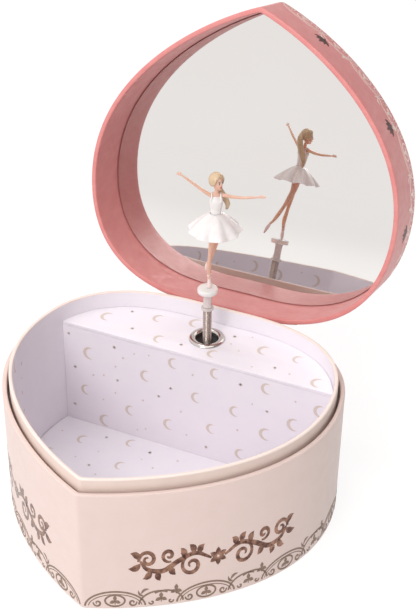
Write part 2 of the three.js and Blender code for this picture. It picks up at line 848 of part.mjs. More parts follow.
// Comb: one tooth per note, tips just clear of the pins.
function combLoop() {
  const [low, high] = CYLINDER_Z;
  const loop = [[-24, low + 0.3], [-24, high - 0.3]];
  const slot = 0.24;
  for (let note = TUNE_NOTES - 1; note >= 0; note--) {
    const from = low + noteSpacing * note + slot / 2;
    const to = low + noteSpacing * (note + 1) - slot / 2;
    const root = -17 + 3.5 * (note / TUNE_NOTES);
    loop.push([root, to], [-PIN_R - 0.15, to], [-PIN_R - 0.15, from], [root, from]);
  }
  return loop.map(([x, z]) => new THREE.Vector2(x, z)).reverse();
}
const combScrews = [39, 47.8];
piece(
  "steel_comb",
  cut(
    slab(combLoop(), -(POST_Y + 0.5), -(POST_Y - 0.5)).rotateX(Math.PI / 2),
    ...combScrews.map((z) => rodY(1, -20.6, z, 50, 60)),
  ),
  STEEL,
);
combScrews.forEach((z, i) =>
  piece(
    "comb_screw_" + (i + 1),
    join(rodY(0.85, -20.6, z, POST_Y - 1.5, 59.5), rodY(1.9, -20.6, z, POST_Y - 2, POST_Y - 0.6)),
    BRASS,
  ),
);

// Stop rod: pushed in, its tip bears on the fly's brake drum.
piece(
  "stop_rod",
  join(rodY(1, FLY_X, STOP_ROD_Z, POST_Y + 4.35, 79), rodY(2.6, FLY_X, STOP_ROD_Z, 77.8, 81, 24)),
  BLACK_PLASTIC,
);

export default music_box;
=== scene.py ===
"""Looks for the heart-shaped wind-up music box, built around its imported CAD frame.

Shapes are worked out in millimetres in the CAD's frame and put into Blender in metres. The heart's tip
points to -Y, the lid hangs at the back (+Y) and stands open, and the dancer stands on a post at the back.
"""
import json
import math
import random

import bmesh
import bpy
import numpy as np
from mathutils import Matrix, Vector


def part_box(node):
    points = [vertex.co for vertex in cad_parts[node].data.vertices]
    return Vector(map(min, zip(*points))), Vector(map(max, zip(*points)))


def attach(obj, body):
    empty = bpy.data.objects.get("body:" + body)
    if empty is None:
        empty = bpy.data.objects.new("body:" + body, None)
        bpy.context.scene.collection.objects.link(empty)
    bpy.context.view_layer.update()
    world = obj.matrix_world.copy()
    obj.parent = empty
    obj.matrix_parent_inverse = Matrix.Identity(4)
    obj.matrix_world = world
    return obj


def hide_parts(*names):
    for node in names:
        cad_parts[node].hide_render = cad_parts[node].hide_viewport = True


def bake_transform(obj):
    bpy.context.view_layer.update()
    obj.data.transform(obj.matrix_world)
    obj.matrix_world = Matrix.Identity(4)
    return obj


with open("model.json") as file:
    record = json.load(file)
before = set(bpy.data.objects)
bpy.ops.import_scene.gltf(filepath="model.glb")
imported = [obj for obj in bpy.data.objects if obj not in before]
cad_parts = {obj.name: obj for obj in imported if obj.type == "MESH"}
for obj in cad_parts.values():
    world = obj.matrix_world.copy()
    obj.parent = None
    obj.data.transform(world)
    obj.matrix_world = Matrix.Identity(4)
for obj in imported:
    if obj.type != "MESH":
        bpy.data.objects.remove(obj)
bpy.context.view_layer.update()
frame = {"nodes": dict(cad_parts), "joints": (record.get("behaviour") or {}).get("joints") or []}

MM = 0.001
rng = random.Random(7)


def high(node):
    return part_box(node)[1] / MM


def low(node):
    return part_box(node)[0] / MM


def joint(name):
    return next(j for j in frame["joints"] if j["name"] == name)


# ---- Sizes, in millimetres ------------------------------------------------------------------------------

TIP_Y = -75.4
CLEFT_Y = 74.5
SIDE_X = 78.7  # where the front and back curves of one side meet
SIDE_Y = 31.2
HALF_POINTS = 120  # outline points between the tip and the cleft
TIP_SOFTNESS = 2.6  # length of outline that a corner is rounded over
CLEFT_SOFTNESS = 26.0
FINE_POINTS = 1000  # steps along half the outline while it is being softened
CROWDING = 0.88  # how much closer the outline points stand at the tip and the cleft
SECTION_STEP = 5  # longest straight edge in a wall's section

WALL = 2.2
WALL_GAP = 1.2
NECK = 1.7
NECK_INSIDE = WALL + WALL_GAP + NECK
BOARD = 1.8
PRINT = 0.07  # thickness of printed and foil-stamped decoration

BOX_TOP = high("outer_wall").z
NECK_TOP = high("neck_wall").z
NECK_LOW = low("neck_wall").z
FLOOR_TOP = high("floor_lining").z
PLATFORM_TOP = high("platform_top_board").z
PLATFORM_FRONT = low("platform_front_board").y

HINGE = Vector(joint("lid_hinge")["pos_m"]) / MM
LID_OPEN = math.radians(joint("lid_hinge")["range_deg"][1])
LID_RIM = 0.2
LID_DEPTH = 30.0
LID_WALL = 2.4
LID_PANEL = 2.4
MIRROR_DEPTH = 24.2
MIRROR = 1.2
# Fitted to bring the reflection nearer to the photo's. The CAD glass is flat, and the tilted one cuts up to
# 0.7 mm into its hidden backing card.
MIRROR_TILT = math.radians(0.6)

POST = Vector(joint("post_fold")["pos_m"]) / MM
POST_R = 2.15  # of the coil; the CAD's post_spring has 2.3
POST_TOP = high("post_spring").z
EYELET_R = 8.9
EYELET_HOLE_R = 5.45
PLATFORM_HOLE_R = 6.2
COIL_LOW = 57.9
CABLE_R = 0.9
DISC_R = 4.9
DISC_TOP = high("turning_disc").z
FIGURE_TURN = math.radians(24)
WINDING_Z = (joint("winding_turn")["pos_m"][2]) / MM


# ---- Materials ------------------------------------------------------------------------------------------

def linear(r, g, b):
    """A colour given as 0-255 screen values."""
    return tuple(((c / 255 + 0.055) / 1.055) ** 2.4 if c > 10 else c / 255 / 12.92 for c in (r, g, b)) + (1,)


class Finish:
    """A Principled material and the noise patterns laid on it. Sizes of patterns are in millimetres."""

    def __init__(self, name, colour, roughness, metallic=0.0, **sockets):
        self.material = bpy.data.materials.new(name)
        self.material.use_nodes = True
        self.tree = self.material.node_tree
        self.shader = self.tree.nodes["Principled BSDF"]
        self.colour = linear(*colour)
        self.shader.inputs["Base Color"].default_value = self.colour
        self.shader.inputs["Roughness"].default_value = roughness
        self.shader.inputs["Metallic"].default_value = metallic
        for socket, value in sockets.items():
            self.shader.inputs[socket.replace("_", " ")].default_value = value
        self.place = self.tree.nodes.new("ShaderNodeTexCoord").outputs["Object"]
        self.normal = None

    def pattern(self, size, detail=3.0, stretch=(1, 1, 1)):
        mapping = self.tree.nodes.new("ShaderNodeMapping")
        mapping.inputs["Scale"].default_value = [1 / (size * MM * s) for s in stretch]
        self.tree.links.new(self.place, mapping.inputs["Vector"])
        made = self.tree.nodes.new("ShaderNodeTexNoise")
        made.inputs["Scale"].default_value = 1.0
        made.inputs["Detail"].default_value = detail
        self.tree.links.new(mapping.outputs["Vector"], made.inputs["Vector"])
        return made.outputs["Fac"]

    def mottled(self, other, size, contrast=0.25, stretch=(1, 1, 1)):
        """The colour drifts between its own and another one."""
        ramp = self.tree.nodes.new("ShaderNodeValToRGB")
        ramp.color_ramp.elements[0].position = 0.5 - contrast
        ramp.color_ramp.elements[1].position = 0.5 + contrast
        ramp.color_ramp.elements[0].color = self.colour
        ramp.color_ramp.elements[1].color = linear(*other)
        self.tree.links.new(self.pattern(size, 4.0, stretch), ramp.inputs["Fac"])
        self.tree.links.new(ramp.outputs["Color"], self.shader.inputs["Base Color"])
        return self

    def grain(self, size, height, detail=3.0, stretch=(1, 1, 1)):
        """Relief of that height in millimetres."""
        bump = self.tree.nodes.new("ShaderNodeBump")
        bump.inputs["Strength"].default_value = 1.0
        bump.inputs["Distance"].default_value = height * MM
        self.tree.links.new(self.pattern(size, detail, stretch), bump.inputs["Height"])
        if self.normal:
            self.tree.links.new(self.normal, bump.inputs["Normal"])
        self.normal = bump.outputs["Normal"]
        self.tree.links.new(self.normal, self.shader.inputs["Normal"])
        return self

    def gloss(self, smooth, rough, size, stretch=(1, 1, 1)):
        """Roughness drifts between two values."""
        change = self.tree.nodes.new("ShaderNodeMapRange")
        change.inputs["From Min"].default_value = 0.3
        change.inputs["From Max"].default_value = 0.7
        change.inputs["To Min"].default_value = smooth
        change.inputs["To Max"].default_value = rough
        self.tree.links.new(self.pattern(size, 3.0, stretch), change.inputs["Value"])
        self.tree.links.new(change.outputs["Result"], self.shader.inputs["Roughness"])
        return self


def paper(name, colour, other, roughness=0.6, **sockets):
    """Printed wrapping paper glued over board: faint mottling, fibre grain and gentle waves."""
    made = Finish(name, colour, roughness, **sockets)
    made.mottled(other, 9, 0.3)
    made.gloss(roughness - 0.08, roughness + 0.1, 4)
    return made.grain(0.5, 0.012, 5).grain(14, 0.05, 1)


cream = paper("cream_paper", (215, 193, 185), (219, 197, 190), 0.5, Sheen_Weight=0.1)
# Lighter paper for the neck's top edge: a painted highlight where light falls on the top faces
painted_highlight_paper = paper("painted_highlight_paper", (232, 213, 204), (236, 219, 211), 0.5)
lavender = paper("lavender_paper", (230, 224, 231), (234, 227, 232), 0.62)
tan_paper = paper("neck_paper", (222, 202, 192), (216, 195, 186), 0.55)
pearl = Finish("pearl_paper", (206, 120, 118), 0.46, Coat_Weight=0.08, Coat_Roughness=0.35, Sheen_Weight=0.1)
pearl.mottled((214, 138, 134), 11, 0.3, (1, 1, 0.35)).gloss(0.4, 0.55, 3)
pearl.grain(0.35, 0.006, 4).grain(16, 0.05, 1)
grey_board = Finish("grey_board", (172, 162, 154), 0.9).mottled((150, 140, 132), 0.8).grain(0.4, 0.05)
silver_glass = Finish("mirror", (228, 225, 223), 0.02, 1.0).mottled((226, 222, 219), 70).grain(60, 0.01, 1)
ink = Finish("moon_ink", (206, 190, 180), 0.5).mottled((212, 197, 188), 1.5)
border_ink = Finish("border_ink", (122, 98, 84), 0.5, 0.15).mottled((140, 116, 100), 2)
dark_ink = Finish("motif_ink", (74, 44, 40), 0.45, 0.1).mottled((96, 62, 56), 1.5)
pale_ink = Finish("scroll_ink", (240, 212, 204), 0.35, 0.2).mottled((232, 200, 192), 2)
foil = Finish("foil", (160, 122, 104), 0.24, 1.0).mottled((98, 70, 62), 3.5, 0.12).gloss(0.16, 0.34, 1.2)
foil.grain(0.8, 0.02, 2)
nickel = Finish("nickel", (205, 198, 194), 0.12, 1.0).gloss(0.08, 0.2, 2).grain(5, 0.01, 1)
spring_wire = Finish("spring_wire", (196, 182, 174), 0.22, 1.0).gloss(0.16, 0.28, 4)
steel = Finish("steel", (168, 170, 174), 0.3, 1.0).gloss(0.2, 0.4, 0.6, (8, 1, 1)).grain(0.3, 0.004)
brass = Finish("brass", (204, 168, 92), 0.28, 1.0).mottled((188, 150, 84), 4).gloss(0.2, 0.36, 1)
zinc = Finish("zinc", (150, 152, 156), 0.45, 1.0).mottled((134, 136, 140), 2).grain(0.7, 0.02)
black_plastic = Finish("black_plastic", (26, 24, 25), 0.45).gloss(0.38, 0.55, 1.5).grain(0.25, 0.004)
white_plastic = Finish("white_plastic", (238, 229, 225), 0.3, Subsurface_Weight=0.2, Coat_Weight=0.3)
white_plastic.mottled((232, 220, 216), 3).grain(0.6, 0.006)
clear_plastic = Finish("clear_plastic", (240, 232, 228), 0.2, Transmission_Weight=0.25, IOR=1.46)
clear_plastic.mottled((228, 212, 208), 1.2)
skin = Finish("skin", (226, 178, 156), 0.42, Subsurface_Weight=0.15, Coat_Weight=0.1)
skin.mottled((218, 166, 146), 3).grain(0.5, 0.004)
dress = Finish("dress", (231, 226, 223), 0.34, Subsurface_Weight=0.1, Sheen_Weight=0.2, Coat_Weight=0.25)
dress.mottled((224, 216, 214), 2.5).grain(0.3, 0.006)
hair = Finish("hair", (208, 184, 154), 0.38, Coat_Weight=0.2).mottled((192, 160, 122), 0.9, 0.25, (1, 1, 6))
hair.grain(0.22, 0.02, 2, (1, 1, 8))
slipper = Finish("slipper", (242, 226, 220), 0.3, Coat_Weight=0.3).mottled((236, 212, 205), 1)
eye_white = Finish("eye_white", (240, 236, 232), 0.25).mottled((228, 222, 220), 0.5)
lash = Finish("lash", (70, 48, 42), 0.4).mottled((54, 36, 32), 0.3)
lips = Finish("lips", (200, 98, 92), 0.35, Coat_Weight=0.2).mottled((190, 86, 82), 0.4)

CAD_FINISHES = {
    "cream_paper": cream, "lavender_paper": lavender, "grey_board": grey_board, "pearl_paper": pearl,
    "mirror": silver_glass, "foil": foil, "nickel": nickel, "black_plastic": black_plastic,
    "white_plastic": white_plastic, "clear_plastic": clear_plastic, "steel": steel, "brass": brass,
    "zinc": zinc, "skin": skin, "dress": dress, "hair": hair, "slipper": slipper,
}


# ---- Mesh tools -----------------------------------------------------------------------------------------

LID_MATRIX = (
    Matrix.Translation(HINGE) @ Matrix.Rotation(-LID_OPEN, 4, "X") @ Matrix.Translation(-HINGE)
)
FIGURE_MATRIX = (
    Matrix.Translation((POST.x, POST.y, DISC_TOP)) @ Matrix.Rotation(FIGURE_TURN, 4, "Z")
)


def piece(name, bm, finish, body, replaces=(), place=None, sharp_deg=38, subdivide=0):
    """An object from a mesh in millimetres, riding on its body."""
    bmesh.ops.remove_doubles(bm, verts=bm.verts, dist=1e-4)
    bmesh.ops.recalc_face_normals(bm, faces=bm.faces)
    if place is not None:
        bm.transform(place)
    bm.transform(Matrix.Scale(MM, 4))
    mesh = bpy.data.meshes.new(name)
    bm.to_mesh(mesh)
    bm.free()
    mesh.materials.append(finish.material)
    mesh.polygons.foreach_set("use_smooth", [True] * len(mesh.polygons))
    mesh.set_sharp_from_angle(angle=math.radians(sharp_deg))
    made = bpy.data.objects.new(name, mesh)
    bpy.context.scene.collection.objects.link(made)
    if subdivide:
        modifier = made.modifiers.new("smooth", "SUBSURF")
        modifier.levels = modifier.render_levels = subdivide
    if body:
        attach(made, body)
    if replaces:
        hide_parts(*replaces)
    return made


def applied(made):
    """Replaces the object's mesh by what its modifiers make of it."""
    graph = bpy.context.evaluated_depsgraph_get()
    graph.update()
    mesh = bpy.data.meshes.new_from_object(made.evaluated_get(graph))
    made.modifiers.clear()
    made.data = mesh
    return made


def fused(made, voxel, smoothing=4):
    """Overlapping parts of one mesh become one skin with soft joins."""
    remesh = made.modifiers.new("fuse", "REMESH")
    remesh.mode = "VOXEL"
    remesh.voxel_size = voxel * MM
    remesh.use_smooth_shade = True
    smooth = made.modifiers.new("soften", "SMOOTH")
    smooth.factor = 0.5
    smooth.iterations = smoothing
    return applied(made)


def drilled(made, tools):
    """Cuts the tool meshes out of the object."""
    for tool in tools:
        cut = made.modifiers.new("cut", "BOOLEAN")
        cut.object = tool
        cut.solver = "EXACT"
    applied(made)
    for tool in tools:
        bpy.data.objects.remove(tool)
    return made


def tool(bm):
    bmesh.ops.recalc_face_normals(bm, faces=bm.faces)
    bm.transform(Matrix.Scale(MM, 4))
    mesh = bpy.data.meshes.new("tool")
    bm.to_mesh(mesh)
    bm.free()
    made = bpy.data.objects.new("tool", mesh)
    bpy.context.scene.collection.objects.link(made)
    return made


def rounded(corners, radius, steps=4):
    """A closed outline whose corners are rounded off."""
    out = []
    for i, corner in enumerate(corners):
        here = Vector(corner)
        before = Vector(corners[i - 1]) - here
        after = Vector(corners[(i + 1) % len(corners)]) - here
        a = here + before.normalized() * min(radius, before.length / 2.01)
        b = here + after.normalized() * min(radius, after.length / 2.01)
        for k in range(steps + 1):
            t = k / steps
            out.append(a * (1 - t) ** 2 + here * (2 * t * (1 - t)) + b * t ** 2)
    return out


def rings(bm, loops, closed=False):
    """Joins loops of equally many points. A closed stack meets itself, an open one gets flat ends."""
    made = [[bm.verts.new(p) for p in loop] for loop in loops]
    count = len(made[0])
    stacked = made + [made[0]] if closed else made
    for a, b in zip(stacked, stacked[1:]):
        for k in range(count):
            n = (k + 1) % count
            bm.faces.new((a[k], a[n], b[n], b[k]))
    if not closed:
        bm.faces.new(made[0][::-1])
        bm.faces.new(made[-1])


def turned(bm, profile, centre=(0, 0, 0), segments=64, axis="Z"):
    """A turned solid from (radius, height) pairs. Radius zero closes an end."""
    turn = {"Z": Matrix.Identity(3), "Y": Matrix.Rotation(-math.pi / 2, 3, "X")}[axis]
    closed = profile[0][0] > 0 and profile[-1][0] > 0
    loops = []
    for r, z in profile:
        loop = []
        for k in range(segments):
            a = 2 * math.pi * k / segments
            spoke = max(r, 1e-3)
            loop.append(turn @ Vector((spoke * math.cos(a), spoke * math.sin(a), z)) + Vector(centre))
        loops.append(loop)
    rings(bm, loops, closed)


def smooth_path(stations, steps=6):
    """Catmull-Rom through stations of any width."""
    p = np.array(stations, float)
    ends = np.vstack([2 * p[0] - p[1], p, 2 * p[-1] - p[-2]])
    out = []
    for i in range(1, len(ends) - 2):
        a, b, c, d = ends[i - 1 : i + 3]
        for k in range(steps):
            t = k / steps
            out.append(0.5 * (2 * b + (c - a) * t + (2 * a - 5 * b + 4 * c - d) * t * t
                              + (3 * b - a - 3 * c + d) * t ** 3))
    out.append(p[-1])
    return np.array(out)


def limb(bm, stations, segments=14, steps=6):
    """A tube with rounded ends through (x, y, z, radius) or (x, y, z, radius, depth radius) stations."""
    path = smooth_path([tuple(s) + (s[3],) if len(s) == 4 else s for s in stations], steps)
    points = [Vector(row[:3]) for row in path]
    side = None
    loops = []
    for i, (point, row) in enumerate(zip(points, path)):
        along = (points[min(i + 1, len(points) - 1)] - points[max(i - 1, 0)]).normalized()
        if side is None:
            side = along.cross(Vector((0, 1, 0)))
            if side.length < 0.2:
                side = along.cross(Vector((1, 0, 0)))
        side = (side - along * side.dot(along)).normalized()
        deep = along.cross(side)
        ends = []
        if i in (0, len(points) - 1):
            sign = -1 if i == 0 else 1
            ends = [(0.45, sign * 0.75), (0.85, sign * 0.42)]
        stack = ends + [(1.0, 0.0)] if i == 0 else [(1.0, 0.0)] + ends[::-1]
        for scale, reach in stack:
            loops.append([
                point + along * reach * row[3]
                + side * (scale * row[3] * math.cos(2 * math.pi * k / segments))
                + deep * (scale * row[4] * math.sin(2 * math.pi * k / segments))
                for k in range(segments)
            ])
    rings(bm, loops)


def ball(bm, centre, radii, segments=32, turn=None):
    made = bmesh.ops.create_uvsphere(bm, u_segments=segments, v_segments=segments // 2, radius=1)["verts"]
    for v in made:
        p = Vector((v.co.x * radii[0], v.co.y * radii[1], v.co.z * radii[2]))
        v.co = (turn @ p if turn else p) + Vector(centre)
    return made


# ---- Heart outline --------------------------------------------------------------------------------------

def bezier(a, b, c, d, count):
    t = np.linspace(0, 1, count, endpoint=False)[:, None]
    a, b, c, d = (np.array(p, float) for p in (a, b, c, d))
    return a * (1 - t) ** 3 + 3 * b * t * (1 - t) ** 2 + 3 * c * t * t * (1 - t) + d * t ** 3


def right_side():
    front = bezier((0, TIP_Y), (28.2, TIP_Y + 10.2), (SIDE_X + 11.1, SIDE_Y - 59.5), (SIDE_X, SIDE_Y), 500)
    back = bezier((SIDE_X, SIDE_Y), (SIDE_X - 4.1, SIDE_Y + 21.9), (58, CLEFT_Y + 5.3), (0, CLEFT_Y), 400)
    return np.vstack([front, back, [(0, CLEFT_Y)]])


def spaced(points, fractions):
    steps = np.linalg.norm(np.diff(points, axis=0), axis=1)
    length = np.concatenate([[0], np.cumsum(steps)])
    at = np.asarray(fractions) * length[-1]
    return np.stack([np.interp(at, length, points[:, k]) for k in (0, 1)], axis=1)


_hearts = {}


def heart(inset):
    """The outline moved inwards, as points that run from the tip round by +X. Corners are a little round."""
    key = round(inset, 3)
    if key in _hearts:
        return _hearts[key]
    side = right_side()
    along = np.gradient(side, axis=0)
    along /= np.linalg.norm(along, axis=1)[:, None]
    moved = side + inset * np.stack([-along[:, 1], along[:, 0]], axis=1)
    moved = moved[moved[:, 0] > 0.05]
    start = moved[0] - (moved[1] - moved[0]) * moved[0, 0] / (moved[1, 0] - moved[0, 0])
    end = moved[-1] - (moved[-2] - moved[-1]) * moved[-1, 0] / (moved[-2, 0] - moved[-1, 0])
    half = np.vstack([start, moved, end])
    fine = spaced(half, np.linspace(0, 1, FINE_POINTS + 1))
    loop = np.vstack([fine, (fine * (-1, 1))[-2:0:-1]])
    step = np.linalg.norm(fine[1] - fine[0])

    def averaged(length):
        reach = round(length / step / 2)
        return sum(np.roll(loop, k, axis=0) for k in range(-reach, reach + 1)) / (2 * reach + 1)

    from_cleft = (FINE_POINTS - np.arange(FINE_POINTS + 1)) * step / (1.4 * CLEFT_SOFTNESS)
    share = np.clip(1 - from_cleft, 0, 1)[:, None]
    share = share * share * (3 - 2 * share)
    at_tip, at_cleft = (averaged(length)[: FINE_POINTS + 1] for length in (TIP_SOFTNESS, CLEFT_SOFTNESS))
    soft = at_tip * (1 - share) + at_cleft * share
    t = np.linspace(0, 1, HALF_POINTS + 1)
    right = spaced(soft, t - CROWDING * np.sin(2 * math.pi * t) / (2 * math.pi))
    left = (right * (-1, 1))[-2:0:-1]
    _hearts[key] = np.vstack([right, left])
    return _hearts[key]


def heart_ring(profile):
    """A closed ring whose section is a loop of (inset, height) pairs."""
    bm = bmesh.new()
    rings(bm, [[(x, y, z) for x, y in heart(inset)] for inset, z in profile], closed=True)
    return bm


def heart_plate(profile):
    """A plate whose edge is a run of (inset, height) pairs from below to above."""
    bm = bmesh.new()
    rings(bm, [[(x, y, z) for x, y in heart(inset)] for inset, z in profile])
    return bm


def stepped(points, step):
    """The same closed run of points with its long straight stretches divided."""
    out = []
    for a, b in zip(points, [*points[1:], points[0]]):
        parts = max(1, math.ceil((b - a).length / step))
        out += [a.lerp(b, k / parts) for k in range(parts)]
    return out


def section(outside, inside, bottom, top, radius):
    corners = [(outside, bottom), (outside, top), (inside, top), (inside, bottom)]
    return stepped(rounded(corners, radius), SECTION_STEP)


def clipped(loop, level, sign):
    out = []
    for i, a in enumerate(loop):
        b = loop[(i + 1) % len(loop)]
        da, db = sign * (a[1] - level), sign * (b[1] - level)
        if da >= 0:
            out.append(tuple(a))
        if da * db < 0:
            out.append(tuple(np.array(a) + (np.array(b) - np.array(a)) * da / (da - db)))
    return out


def board(loop, bottom, top):
    """A flat board with straight sides over a loop of points."""
    bm = bmesh.new()
    rings(bm, [[(x, y, z) for x, y in loop] for z in (bottom, top)])
    return bm


def eased(made, width, segments=2):
    """Rounds an object's sharp edges."""
    bevel = made.modifiers.new("ease", "BEVEL")
    bevel.width = width * MM
    bevel.segments = segments
    bevel.limit_method = "ANGLE"
    bevel.angle_limit = math.radians(50)
    return applied(made)


# ---- Box ------------------------------------------------------------------------------------------------

def rod_tool(radius, x, z, y0, y1):
    bm = bmesh.new()
    turned(bm, [(0, 0), (radius, 0), (radius, y1 - y0), (0, y1 - y0)], (x, y0, z), 32, "Y")
    return tool(bm)


def screw_spot(number):
    """Where a mounting screw's axis is, in x and z."""
    bottom, top = low(f"mounting_screw_{number}"), high(f"mounting_screw_{number}")
    return (bottom.x + top.x) / 2, (bottom.z + top.z) / 2


STOP_X = (low("stop_rod").x + high("stop_rod").x) / 2
STOP_Z = (low("stop_rod").z + high("stop_rod").z) / 2


KEY_HOLE_R = 3.4
SMALL_HOLE_R = 1.5
THROUGH_BACK = (60, 80)  # from and to, along Y


def back_holes():
    return [
        rod_tool(KEY_HOLE_R, 0, WINDING_Z, *THROUGH_BACK),
        rod_tool(SMALL_HOLE_R, STOP_X, STOP_Z, *THROUGH_BACK),
        *(rod_tool(SMALL_HOLE_R, *screw_spot(n), *THROUGH_BACK) for n in (1, 2, 3)),
    ]


wall = piece(
    "box_wall", heart_ring(section(0, WALL, 0, BOX_TOP, 0.7)),
    cream, "box", ["outer_wall"],
)
drilled(wall, back_holes())
neck = piece(
    "box_neck", heart_ring(section(WALL + WALL_GAP, NECK_INSIDE, NECK_LOW, NECK_TOP, 0.6)),
    lavender, "box", ["neck_wall"],
)
drilled(neck, back_holes())
neck.data.materials.append(tan_paper.material)
neck.data.materials.append(painted_highlight_paper.material)
# Faces in the top half millimetre take the lighter paper, a painted highlight on the top edge; outward side
# faces take the neck paper
for face in neck.data.polygons:
    centre = face.center / MM
    if centre.z > NECK_TOP - 0.5:
        face.material_index = 2
    elif face.normal.dot(Vector((centre.x, centre.y + 5, 0))) > 0 and abs(face.normal.z) < 0.5:
        face.material_index = 1
piece(
    "box_base", heart_plate([(WALL + 0.3, 0), (WALL + 0.1, 0.2), (WALL + 0.1, 1.7), (WALL + 0.3, 1.8)]),
    cream, "box", ["bottom_board"],
)
inside = heart(NECK_INSIDE + 0.12)
piece(
    "tray_floor", board(clipped(inside, PLATFORM_FRONT - 0.15, -1), FLOOR_TOP - 0.4, FLOOR_TOP),
    lavender, "box", ["floor_lining"],
)
piece(
    "platform_front",
    board(clipped(clipped(inside, PLATFORM_FRONT, 1), PLATFORM_FRONT + BOARD, -1),
          FLOOR_TOP - 0.4, PLATFORM_TOP - BOARD - 0.1),
    lavender, "box", ["platform_front_board"],
)
top_board = piece(
    "platform_top", board(clipped(inside, PLATFORM_FRONT, 1), PLATFORM_TOP - BOARD, PLATFORM_TOP),
    lavender, "box", ["platform_top_board"],
)
hole = bmesh.new()
turned(hole, [(0, 50), (PLATFORM_HOLE_R, 50), (PLATFORM_HOLE_R, 70), (0, 70)], (POST.x, POST.y, 0))
drilled(top_board, [tool(hole)])
eased(top_board, 0.35, 3)


def back_strip(name, outside, inside_of, bottom, top, finish, body, replaces, place=None):
    """A glued hinge strip round the middle of the back wall."""
    half = 40
    bm = bmesh.new()
    corners = [(outside, bottom), (outside, top), (inside_of, top), (inside_of, bottom)]
    section_points = rounded(corners, 0.2, 2)
    back = [i for i, (x, y) in enumerate(heart(0)) if y > 60 and abs(x) < half]
    rings(bm, [[(*heart(inset)[i], z) for inset, z in section_points] for i in back])
    return piece(name, bm, finish, body, replaces, place)


back_strip("box_hinge_strip", -0.45, -0.05, low("hinge_strip_box").z, high("hinge_strip_box").z,
           cream, "box", ["hinge_strip_box"])


# ---- Lid, worked out shut and placed open ---------------------------------------------------------------

rim = HINGE.z + LID_RIM
panel_low = rim + LID_DEPTH - LID_PANEL
mirror_low = rim + MIRROR_DEPTH
piece(
    "lid_shell", heart_ring(section(0, LID_WALL, rim, panel_low - 0.05, 0.7)),
    pearl, "lid", ["lid_wall"], LID_MATRIX,
)
piece(
    "lid_panel",
    heart_plate([(0.6, panel_low), (0.05, panel_low + 0.3), (0.05, panel_low + 1.7),
                 (0.3, panel_low + 2.2), (0.9, panel_low + LID_PANEL)]),
    pearl, "lid", ["lid_top_panel"], LID_MATRIX,
)
mirror_centre = Vector((0, 0, mirror_low))
MIRROR_MATRIX = (
    LID_MATRIX @ Matrix.Translation(mirror_centre) @ Matrix.Rotation(-MIRROR_TILT, 4, "X")
    @ Matrix.Translation(-mirror_centre)
)
piece(
    "lid_mirror",
    heart_plate([(LID_WALL + 0.55, mirror_low), (LID_WALL + 0.2, mirror_low + 0.35),
                 (LID_WALL + 0.2, mirror_low + MIRROR)]),
    silver_glass, "lid", ["mirror_glass"], MIRROR_MATRIX, 20,
)
back_strip("lid_hinge_strip", -0.45, -0.05, rim + 1, rim + 13.8, pearl, "lid",
           ["hinge_strip_lid"], LID_MATRIX)


# ---- Printed decoration ---------------------------------------------------------------------------------

def ribbon(bm, path, width, place, closed=False):
    """A thin flat strip along a path in a surface's own coordinates. The width may change along it."""
    points = [Vector(p) for p in path]
    count = len(points)
    stations = []
    for i, p in enumerate(points):
        before = points[i - 1] if closed or i else p
        after = points[(i + 1) % count] if closed or i + 1 < count else p
        along = (after - before).normalized()
        half = Vector((-along.y, along.x)) * (width(i / (count - 1)) if callable(width) else width) / 2
        left, right = p + half, p - half
        stations.append([
            bm.verts.new(place(*left, 0.01)), bm.verts.new(place(*left, PRINT)),
            bm.verts.new(place(*right, PRINT)), bm.verts.new(place(*right, 0.01)),
        ])
    pairs = list(zip(stations, stations[1:]))
    if closed:
        pairs.append((stations[-1], stations[0]))
    for a, b in pairs:
        for k in range(4):
            bm.faces.new((a[k], a[(k + 1) % 4], b[(k + 1) % 4], b[k]))
    if not closed:
        bm.faces.new(stations[0][::-1])
        bm.faces.new(stations[-1])


def arc(centre, radii, start, end, count=14):
    """Points on an ellipse arc, with angles in degrees."""
    angles = [math.radians(start + (end - start) * k / (count - 1)) for k in range(count)]
    return [(centre[0] + radii[0] * math.cos(a), centre[1] + radii[1] * math.sin(a)) for a in angles]


def curl(centre, outer, start, turns, count=26):
    """A spiral that winds in on its centre. Negative turns run clockwise."""
    out = []
    for k in range(count):
        t = k / (count - 1)
        a = math.radians(start) + 2 * math.pi * turns * t
        r = outer * (1 - 0.82 * t)
        out.append((centre[0] + r * math.cos(a), centre[1] + r * math.sin(a)))
    return out


def taper(widest, start=0.15, end=0.15):
    return lambda t: widest * (max(math.sin(math.pi * t), 0) ** 0.7 * (1 - start) + start * (1 - t) + end * t)


def leaf(bm, root, tip, width, bend, place, count=9):
    """A leaf that bows to one side between its root and its tip."""
    a, b = Vector(root), Vector(tip)
    side = Vector((-(b - a).y, (b - a).x)) * bend
    path = [a.lerp(b, k / (count - 1)) + side * math.sin(math.pi * k / (count - 1)) for k in range(count)]
    ribbon(bm, path, lambda t: max(width * math.sin(math.pi * min(t * 1.02 + 0.02, 1)) ** 0.8, 0.05), place)


def trefoil(bm, centre, size, place):
    """Three leaves and a short stalk."""
    for angle in (90, 205, -25):
        a = math.radians(angle)
        tip = (centre[0] + size * math.cos(a), centre[1] + size * math.sin(a))
        leaf(bm, centre, tip, size * 0.62, 0, place, 7)
    ribbon(bm, [centre, (centre[0], centre[1] - size * 0.7)], size * 0.16, place)


